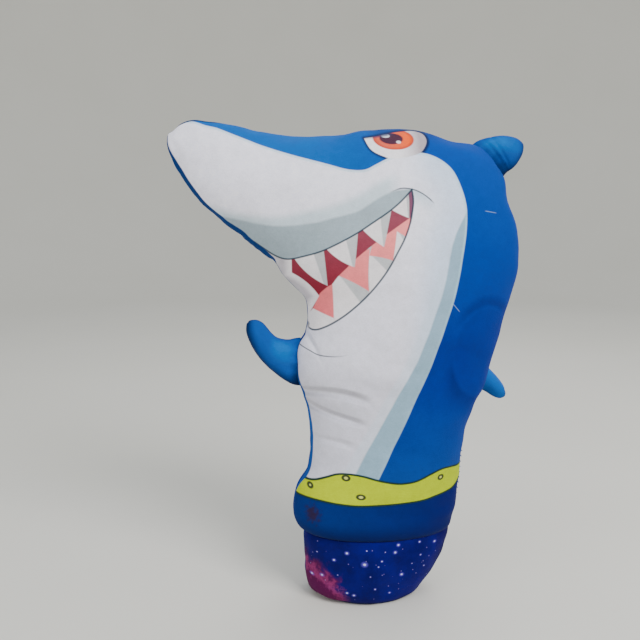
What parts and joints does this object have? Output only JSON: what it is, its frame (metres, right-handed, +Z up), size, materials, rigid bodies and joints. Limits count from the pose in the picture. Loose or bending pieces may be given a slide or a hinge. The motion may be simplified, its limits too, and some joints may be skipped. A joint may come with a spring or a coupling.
{
  "type": "plush shark",
  "caption": "Stuffed toy shark that stands upright on a weighted oval boot, with a long raised snout, two side fins and a dorsal fin.",
  "frame": {"origin": "centre of the flat face that the boot rests on", "axes": "+Z up, -Y the way the printed face looks, -X the way the snout points"},
  "size_m": [0.3069, 0.0914, 0.42],
  "materials": {
    "front_print": "short pile, printed",
    "back_fabric": "short pile",
    "galaxy_print": "short pile, printed",
    "base_fabric": "short pile",
    "fin_fabric": "short pile",
    "seam_allowance": "cut edge with lockstitch",
    "thread": "polyester thread",
    "stuffing": "polyester fibre",
    "bag_cloth": "plain weave",
    "pellets": "matte"
  },
  "bodies": {
    "base": {"base_panel": "base_fabric", "galaxy_front": "galaxy_print", "galaxy_back": "back_fabric", "base_fill": "stuffing", "pellet_bag": "bag_cloth", "pellets": "pellets", "base_seam": "seam_allowance", "waist_seam": "seam_allowance"},
    "torso": {"front_panel": "front_print", "back_panel": "back_fabric", "body_fill": "stuffing", "head_fill": "stuffing", "outline_seam": "seam_allowance", "closing_stitches": "thread"},
    "left_fin": {"left_fin_front": "fin_fabric", "left_fin_back": "fin_fabric", "left_fin_fill": "stuffing", "left_fin_seam": "seam_allowance"},
    "right_fin": {"right_fin_front": "fin_fabric", "right_fin_back": "fin_fabric", "right_fin_fill": "stuffing", "right_fin_seam": "seam_allowance"},
    "dorsal_fin": {"dorsal_fin_front": "fin_fabric", "dorsal_fin_back": "fin_fabric", "dorsal_fin_fill": "stuffing", "dorsal_fin_seam": "seam_allowance"}
  },
  "joints": [
    {"name": "waist_lean", "type": "hinge", "parent": "base", "child": "torso", "pos_m": [0, 0, 0.06], "axis": [1, 0, 0], "range_deg": [-12, 12], "stiffness_Nm_per_rad": 6},
    {"name": "left_fin_flap", "type": "hinge", "parent": "torso", "child": "left_fin", "pos_m": [-0.0712, 0, 0.215], "axis": [0, 0, 1], "range_deg": [-30, 30], "stiffness_Nm_per_rad": 0.05},
    {"name": "right_fin_flap", "type": "hinge", "parent": "torso", "child": "right_fin", "pos_m": [0.0856, 0.02696, 0.1986], "axis": [-0.3214, 0.4432, 0.8368], "range_deg": [-12, 20], "stiffness_Nm_per_rad": 0.05},
    {"name": "dorsal_fin_flap", "type": "hinge", "parent": "torso", "child": "dorsal_fin", "pos_m": [0.1035, 0, 0.39225], "axis": [0.6556, 0, -0.7551], "range_deg": [-30, 30], "stiffness_Nm_per_rad": 0.05}
  ]
}
